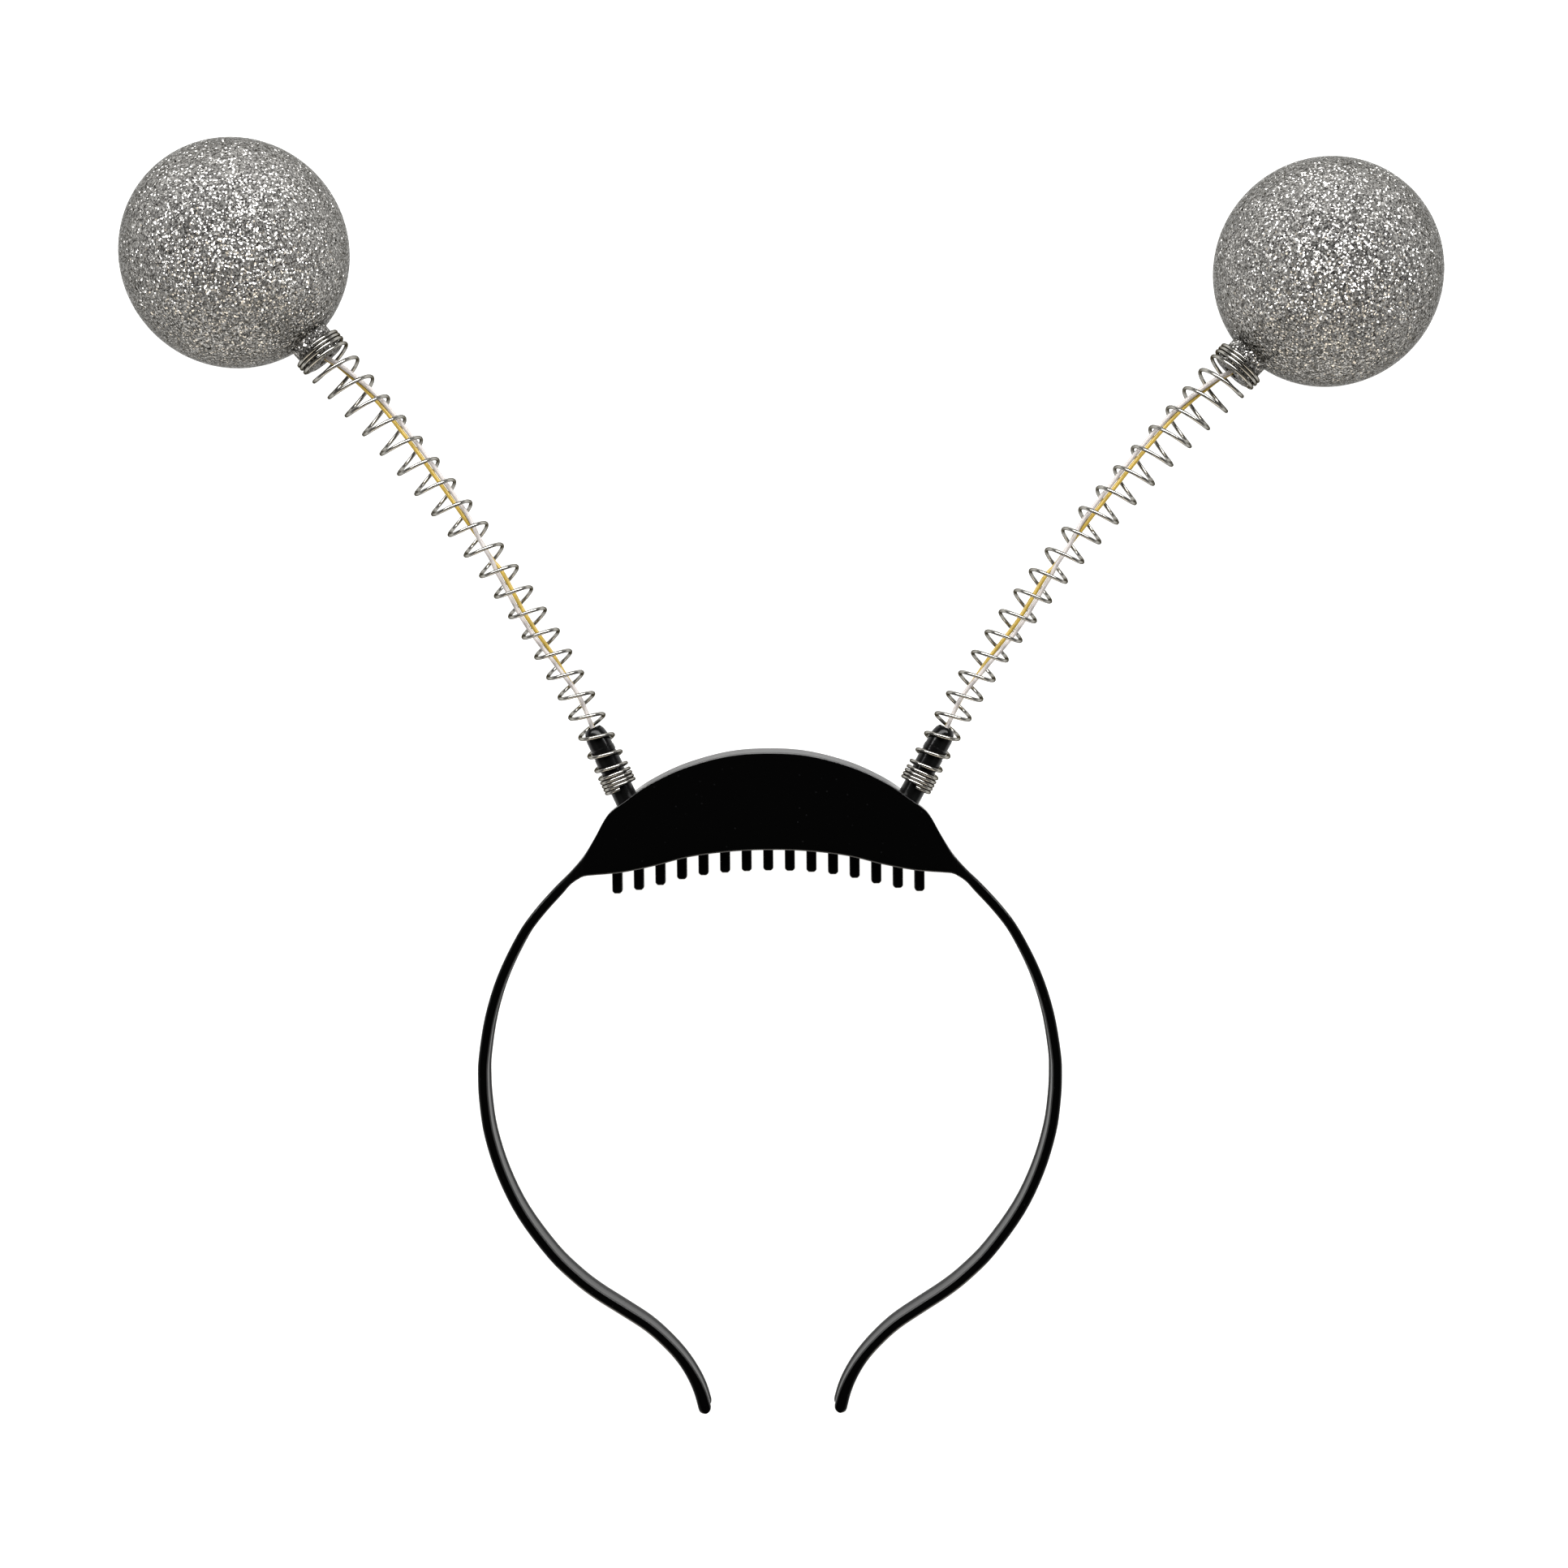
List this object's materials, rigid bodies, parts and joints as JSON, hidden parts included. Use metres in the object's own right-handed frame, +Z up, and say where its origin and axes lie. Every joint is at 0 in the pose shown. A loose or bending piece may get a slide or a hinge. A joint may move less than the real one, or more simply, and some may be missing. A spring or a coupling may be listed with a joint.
{
  "type": "head bopper",
  "caption": "C-shaped plastic headband with a comb and a battery housing at its crown, and glitter balls that sway on conical wire springs threaded with leads.",
  "frame": {"origin": "on the flat back of the battery housing, at the level of the crown's middle, on the headband's plane of symmetry", "axes": "+X to the right as the housing's face is seen, +Y from the band's tips towards the balls, +Z up from the surface the part lies on, out of the housing's back towards its face"},
  "size_m": [0.2896, 0.2844, 0.0505],
  "materials": {
    "gloss_black": "polished black moulded ABS",
    "post_black": "smooth black moulded plastic",
    "spring_wire": "bright nickel-plated steel wire",
    "silver_glitter": "fine silver glitter glued over a plastic shell",
    "white_insulation": "smooth white PVC insulation",
    "yellow_insulation": "smooth yellow PVC insulation"
  },
  "bodies": {
    "headband": {"headband": "gloss_black", "front_panel": "gloss_black", "comb": "gloss_black", "left_post": "post_black", "right_post": "post_black"},
    "left_bopper": {"left_ball": "silver_glitter", "left_spring": "spring_wire", "left_lead_white": "white_insulation", "left_lead_yellow": "yellow_insulation"},
    "right_bopper": {"right_ball": "silver_glitter", "right_spring": "spring_wire", "right_lead_white": "white_insulation", "right_lead_yellow": "yellow_insulation"}
  },
  "joints": [
    {"name": "left_sway", "type": "hinge", "parent": "headband", "child": "left_bopper", "pos_m": [-0.05523, 0.04527, 0.01924], "axis": [0, 0, 1], "range_deg": [-35, 35], "stiffness_Nm_per_rad": 0.0094, "deforming": ["left_spring", "left_lead_white", "left_lead_yellow"]},
    {"name": "right_sway", "type": "hinge", "parent": "headband", "child": "right_bopper", "pos_m": [0.05831, 0.04352, 0.01909], "axis": [0, 0, 1], "range_deg": [-35, 35], "stiffness_Nm_per_rad": 0.0094, "deforming": ["right_spring", "right_lead_white", "right_lead_yellow"]}
  ]
}
